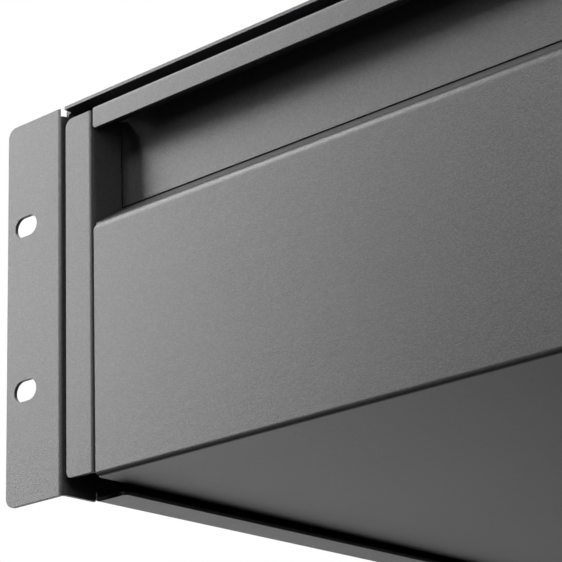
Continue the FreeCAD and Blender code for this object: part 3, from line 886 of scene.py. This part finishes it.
@dataclass(frozen=True)
class DomedRivet:
    """A rivet whose low domed head holds the lever, its head's seat at the origin."""

    head_radius: float = 0.0037
    head_height: float = 0.0012
    shank_radius: float = 0.0019
    dome_steps: int = 7
    steps: int = 36

    def mesh(self, grip: float) -> bmesh.types.BMesh:
        """The rivet.

        Args:
            grip: How far its shank goes in.

        Returns:
            Its mesh.
        """
        shank = self.shank_radius
        points = [(0.0, -grip), (shank, -grip), (shank, 0.0), (self.head_radius, 0.0)]
        for step in range(1, self.dome_steps + 1):
            angle = math.pi / 2 * step / self.dome_steps
            points.append((self.head_radius * math.cos(angle), self.head_height * math.sin(angle)))
        return turned(points, self.steps)


@dataclass(frozen=True)
class Bearing:
    """A ball about the origin."""

    radius: float = 0.0016
    rings: int = 12

    def mesh(self) -> bmesh.types.BMesh:
        """Make the ball.

        Returns:
            Its mesh.
        """
        ball = bmesh.new()
        sizes = {"u_segments": 2 * self.rings, "v_segments": self.rings, "radius": self.radius}
        bmesh.ops.create_uvsphere(ball, **sizes)
        return ball


# ---------------------------------------------------------------- sub-assemblies
@dataclass
class SubAssembly:
    """What every sub-assembly has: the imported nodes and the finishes.

    The recess of its first screw is turned by FIRST_TURN degrees, and of each next by NEXT_TURN more.
    """

    FIRST_TURN: ClassVar[float] = 19.0
    NEXT_TURN: ClassVar[float] = 47.0

    nodes: dict[str, bpy.types.Object]
    finishes: Finishes

    def dress(self, slot: str, *names: str) -> None:
        """Give nodes the finish of a slot, and report them.

        Args:
            slot: The record's material slot.
            *names: The nodes.
        """
        for name in names:
            self.finishes.dress(self.nodes[name], slot)
            LOG.info("%s: %s", name, slot)

    def stand_in(self, mesh: bmesh.types.BMesh, name: str, node: str, slot: str, body: str) -> None:
        """Put a detailed piece in place of a node.

        Args:
            mesh: The piece's mesh.
            name: Its name.
            node: The node that it stands for.
            slot: Its material slot.
            body: The body that it rides on.
        """
        piece = new_piece(name, mesh)
        self.finishes.dress(piece, slot)
        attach(piece, body)
        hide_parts(node)
        LOG.info("%s: %s, for %s, on %s", name, slot, node, body)

    def screws(self, node: str, body: str, inward: Callable[[Solid], Vector], share: float = 1.0) -> None:
        """Put cross-recess screws in place of a node's plain ones.

        Args:
            node: The node of screws.
            body: The body that they ride on.
            inward: The direction in which a screw goes in.
            share: The screws' size against the largest ones.
        """
        solids = solids_of(self.nodes[node])
        screw = PanHeadScrew().scaled(share)
        grip = solids[0].size.x - screw.head_height
        places = []
        for number, solid in enumerate(solids):
            direction = inward(solid)
            seat = solid.centre - direction * (solid.size.x / 2 - screw.head_height)
            degrees = self.FIRST_TURN + self.NEXT_TURN * number
            turn = Matrix.Rotation(math.radians(degrees), 4, "Z")
            places.append(facing(seat, -direction) @ turn)
        mesh = copies(screw.mesh(grip), places)
        self.stand_in(mesh, node + "_cross_recess", node, "screw_steel", body)


@dataclass
class Case(SubAssembly):
    """The folded case with its rear panel."""

    rear_screw_share: float = 0.75

    @staticmethod
    def inward(solid: Solid) -> Vector:
        """The direction from a side wall to the middle of the case."""
        return Vector((-math.copysign(1.0, solid.centre.x), 0.0, 0.0))

    def build(self) -> None:
        """Dress the sheets and put in the rear panel's screws."""
        self.dress("case_coat", "case_shell", "rear_panel")
        self.screws("rear_panel_screws", "case", self.inward, self.rear_screw_share)


@dataclass
class Drawer(SubAssembly):
    """The drawer's sheets."""

    def build(self) -> None:
        """Dress the pan, the walls and the pull channel."""
        walls = ("drawer_left_side", "drawer_right_side", "drawer_back")
        self.dress("drawer_coat", "drawer_pan", "pull_channel", *walls)


@dataclass
class Slide(SubAssembly):
    """One telescopic slide with its screws and its release lever."""

    side: Side

    def name(self, piece: str) -> str:
        """The node of a piece on this side."""
        return f"{self.side.title}_{piece}"

    def build(self) -> None:
        """Dress the members and put in balls, rivet and screws."""
        members = ("slide_outer_member", "slide_middle_member", "slide_inner_member")
        self.dress("slide_zinc", *map(self.name, members))
        self.dress("cage_steel", self.name("outer_ball_cage"), self.name("inner_ball_cage"))
        self.dress("bumper_plastic", self.name("outer_bumper"), self.name("middle_bumper"))
        self.dress("lever_plastic", self.name("release_lever"))
        self.balls("outer")
        self.balls("inner")
        self.rivet()
        outward = self.side.outward
        self.screws(self.name("case_screws"), "case", lambda solid: -outward)
        self.screws(self.name("drawer_screws"), "drawer", lambda solid: outward)

    def balls(self, row: str) -> None:
        """Put round balls in a cage.

        Args:
            row: outer or inner.
        """
        node = self.name(f"{row}_balls")
        places = [Matrix.Translation(solid.centre) for solid in solids_of(self.nodes[node])]
        mesh = copies(Bearing().mesh(), places)
        name, cage = self.name(f"{row}_bearing_balls"), self.name(f"{row}_cage")
        self.stand_in(mesh, name, node, "ball_steel", cage)

    def rivet(self) -> None:
        """Put a domed rivet through the lever."""
        node = self.name("lever_rivet")
        solid = solids_of(self.nodes[node])[0]
        rivet = DomedRivet()
        outward = self.side.outward
        seat = solid.centre + outward * (solid.size.x / 2 - rivet.head_height)
        mesh = copies(rivet.mesh(solid.size.x - rivet.head_height), [facing(seat, outward)])
        self.stand_in(mesh, self.name("lever_rivet_domed"), node, "screw_steel", "drawer")


# ---------------------------------------------------------------- studio
@dataclass(frozen=True)
class Lamp:
    """A soft rectangular lamp, with its size in metres and its power in watts."""

    name: str
    place: Vector
    aim: Vector
    width: float
    height: float
    power: float
    mirrored: bool = True

    def build(self) -> None:
        """Hang the lamp."""
        data = bpy.data.lights.new(self.name, "AREA")
        data.shape = "RECTANGLE"
        data.size = self.width
        data.size_y = self.height
        data.energy = self.power
        lamp = bpy.data.objects.new(self.name, data)
        lamp.visible_glossy = self.mirrored
        lamp.location = self.place
        lamp.rotation_euler = (self.aim - self.place).to_track_quat("-Z", "Y").to_euler()
        bpy.context.scene.collection.objects.link(lamp)
        LOG.info("lamp %s: %.2f W", self.name, self.power)


@dataclass(frozen=True)
class Viewpoint:
    """Where the camera stands and looks."""

    place: Vector
    ahead: Vector
    right: Vector
    lens: float = 123.47
    sensor: float = 36.0
    nearest: float = 0.01
    farthest: float = 50.0

    def build(self) -> None:
        """Set up the scene's camera."""
        data = bpy.data.cameras.new("camera")
        data.lens = self.lens
        data.sensor_width = self.sensor
        data.sensor_fit = "HORIZONTAL"
        data.clip_start = self.nearest
        data.clip_end = self.farthest
        camera = bpy.data.objects.new("camera", data)
        ahead = self.ahead.normalized()
        right = (self.right - ahead * self.right.dot(ahead)).normalized()
        above = right.cross(ahead)
        turn = Matrix((right, above, -ahead)).transposed().to_4x4()
        camera.matrix_world = Matrix.Translation(self.place) @ turn
        bpy.context.scene.collection.objects.link(camera)
        bpy.context.scene.camera = camera


@dataclass(frozen=True)
class Studio:
    """Pale floor, white surroundings and soft lamps.

    floor_bounce is the floor's colour in the light that it throws back on the part, and floor_fade
    is where it fades into the surroundings. Reflections show the surroundings behind the part only:
    mirror_behind and mirror_above are the headings along Y and Z over which they turn white, and
    lower down mirror_levels gives their brightness at either end of mirror_sides, headings along X.
    """

    floor_height: float
    floor_reach: float = 12.0
    floor_colour: Colour = (0.8, 0.8, 0.8)
    floor_bounce: Colour = (0.03, 0.03, 0.03)
    floor_roughness: float = 0.9
    floor_fade: Span = (0.7, 2.0)
    patch_size: float = 0.4
    patch_detail: float = 3.0
    patch_tone: float = 0.97
    ambient: float = 0.01
    mirror_behind: Span = (0.05, 0.45)
    mirror_above: Span = (-0.15, 0.1)
    mirror_sides: Span = (-0.38, -0.8)
    mirror_levels: Span = (0.3, 0.95)

    def floor(self) -> None:
        """Lay the floor. From below, far off and in reflections, it lets the surroundings show."""
        mesh = bmesh.new()
        bmesh.ops.create_grid(mesh, x_segments=2, y_segments=2, size=self.floor_reach)
        floor = new_piece("studio_floor", mesh)
        floor.location = (0.0, 0.0, self.floor_height)
        material, wiring, shader = new_material("floor_paper")
        place = wiring.add("TexCoord").outputs["Object"]
        shade = wiring.noise(place, self.patch_size, self.patch_detail)
        path = wiring.add("LightPath").outputs
        paper = wiring.tint(shade, toned(self.floor_colour, self.patch_tone), self.floor_colour)
        paper = wiring.tint(path["Is Diffuse Ray"], paper, self.floor_bounce)
        wiring.feed(shader, Base_Color=paper, Roughness=self.floor_roughness)
        shader.inputs["Specular IOR Level"].default_value = 0.0
        back = wiring.add("NewGeometry").outputs["Backfacing"]
        reach = wiring.add("VectorMath", operation="LENGTH")
        wiring.link(place, reach.inputs[0])
        far = wiring.ramp(reach.outputs["Value"], *self.floor_fade)
        clear = wiring.maths("MULTIPLY", path["Is Camera Ray"], wiring.maths("MAXIMUM", back, far))
        seen = wiring.maths("MAXIMUM", clear, path["Is Glossy Ray"])
        leave = wiring.tree.nodes["Material Output"]
        mix = wiring.add("MixShader")
        wiring.link(seen, mix.inputs[0])
        wiring.link(shader.outputs["BSDF"], mix.inputs[1])
        wiring.link(wiring.add("BsdfTransparent").outputs[0], mix.inputs[2])
        wiring.link(mix.outputs[0], leave.inputs["Surface"])
        floor.data.materials.append(material)
        floor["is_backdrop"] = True

    def surroundings(self) -> None:
        """Make them white for the camera, graded in reflections, and a low even light for the rest."""
        world = bpy.data.worlds.new("studio")
        bpy.context.scene.world = world
        world.use_nodes = True
        wiring = Wiring(world.node_tree)
        path = wiring.add("LightPath").outputs
        heading = wiring.add("SeparateXYZ")
        wiring.link(wiring.add("TexCoord").outputs["Generated"], heading.inputs[0])
        behind = wiring.ramp(heading.outputs["Y"], *self.mirror_behind)
        above = wiring.ramp(heading.outputs["Z"], *self.mirror_above)
        aside = wiring.ramp(heading.outputs["X"], *self.mirror_sides)
        right, left = self.mirror_levels
        below = wiring.maths("MULTIPLY_ADD", aside, left - right, right)
        level = wiring.maths("MULTIPLY", behind, wiring.maths("MAXIMUM", above, below))
        mirrored = wiring.maths("MULTIPLY", path["Is Glossy Ray"], level)
        seen = wiring.maths("MAXIMUM", path["Is Camera Ray"], mirrored)
        seen = wiring.maths("MAXIMUM", seen, path["Is Transmission Ray"])
        strength = wiring.maths("MULTIPLY_ADD", seen, 1.0 - self.ambient, self.ambient)
        white = wiring.feed(wiring.add("Background"), Color=(1.0, 1.0, 1.0, 1.0), Strength=strength)
        wiring.link(white.outputs[0], wiring.add("OutputWorld").inputs["Surface"])

    def lamps(self) -> list[Lamp]:
        """List the lamps.

        Returns:
            Four that light the front, then four round the middle of the part.
        """
        front = Vector((-0.17, 0.0, 0.02))
        middle = Vector((0.0, 0.19, 0.0))
        return [
            Lamp("key", Vector((-0.855, -0.51, 0.412)), front, 0.494, 0.9, 9.05),
            Lamp("upper", Vector((-1.05, -0.212, 1.264)), front, 1.0, 0.468, 6.9),
            Lamp("front", Vector((-0.45, -1.9, 1.3)), front, 0.8, 0.8, 16.0),
            Lamp("fill", Vector((1.6, -0.35, 0.15)), front, 0.4, 0.4, 5.5, mirrored=False),
            Lamp("top", Vector((0.1, 0.35, 1.5)), middle, 1.2, 1.2, 14.0),
            Lamp("rear", Vector((0.5, 1.7, 0.7)), middle, 1.0, 1.0, 12.0, mirrored=False),
            Lamp("right", Vector((1.5, 0.35, 0.5)), middle, 0.9, 0.9, 9.0),
            Lamp("left", Vector((-1.5, 0.45, 0.5)), middle, 0.9, 0.9, 9.0),
        ]

    def build(self) -> None:
        """Set up everything round the part."""
        bpy.context.scene.view_settings.view_transform = "Standard"
        self.floor()
        self.surroundings()
        for lamp in self.lamps():
            lamp.build()


def corners(box: tuple[Vector, Vector]) -> list[list[float]]:
    """A box as plain lists of numbers."""
    return [list(corner) for corner in box]


def main() -> None:
    """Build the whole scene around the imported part."""
    logging.basicConfig(level=logging.INFO, format="%(name)s: %(message)s")
    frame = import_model()
    packed = corners(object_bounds())
    finishes = Finishes()
    nodes = frame["nodes"]
    Case(nodes, finishes).build()
    Drawer(nodes, finishes).build()
    for side in Side:
        Slide(nodes, finishes, side).build()
    Studio(floor_height=packed[0][2]).build()
    Viewpoint(
        place=Vector((0.2097, -0.4095, -0.212075)),
        ahead=Vector((-0.5945, 0.7275, 0.3426)),
        right=Vector((0.7643, 0.6436, -0.0404)),
    ).build()


if __name__ == "__main__":
    main()
